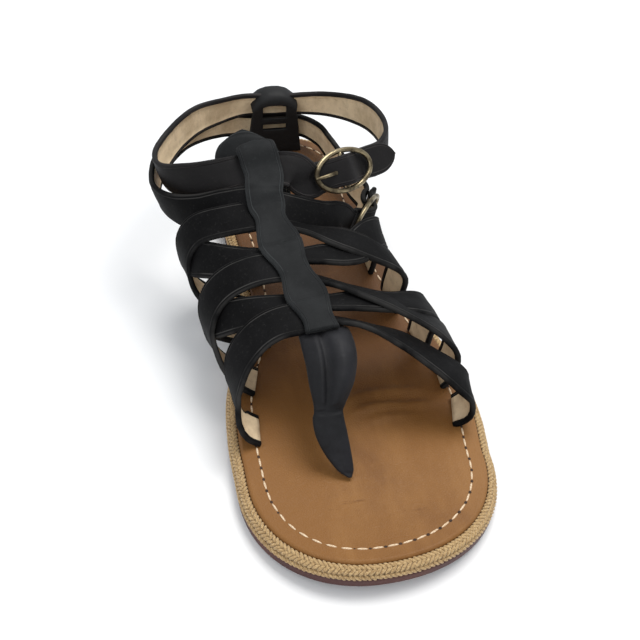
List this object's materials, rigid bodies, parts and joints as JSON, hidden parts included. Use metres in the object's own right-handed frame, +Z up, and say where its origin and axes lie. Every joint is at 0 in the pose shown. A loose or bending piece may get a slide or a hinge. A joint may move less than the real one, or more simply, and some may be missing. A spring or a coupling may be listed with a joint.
{
  "type": "gladiator sandal",
  "caption": "Left flat gladiator sandal with crossed dark leather straps, a centre spine with toe thong, a buckled ankle strap, a heel tab and a rope-welted leather sole.",
  "frame": {"origin": "centre of the whole sandal's bounding box, on the floor plane", "axes": "+Z up, toe towards -Y, heel towards +Y, outer (lateral) side of this left shoe towards +X"},
  "size_m": [0.1162, 0.2588, 0.0722],
  "materials": {
    "outsole_leather": "semi-matte oxblood edge",
    "heel_rubber": "dark brown, matte",
    "insole_leather": "smooth tan, light sheen",
    "jute_rope": "braided natural fibre",
    "strap_leather": "black nubuck, matte, pale lining",
    "tongue_leather": "blue-black nubuck, padded",
    "antique_brass": "antiqued, satin"
  },
  "bodies": {
    "root": {"outsole": "outsole_leather", "heel_lift": "heel_rubber", "insole": "insole_leather", "jute_welt": "jute_rope", "upper": "strap_leather", "tongue": "tongue_leather", "ankle_strap": "strap_leather", "heel_tab": "strap_leather", "ankle_buckle": "antique_brass", "ankle_prong": "antique_brass", "lower_buckle": "antique_brass", "lower_prong": "antique_brass"}
  },
  "joints": []
}
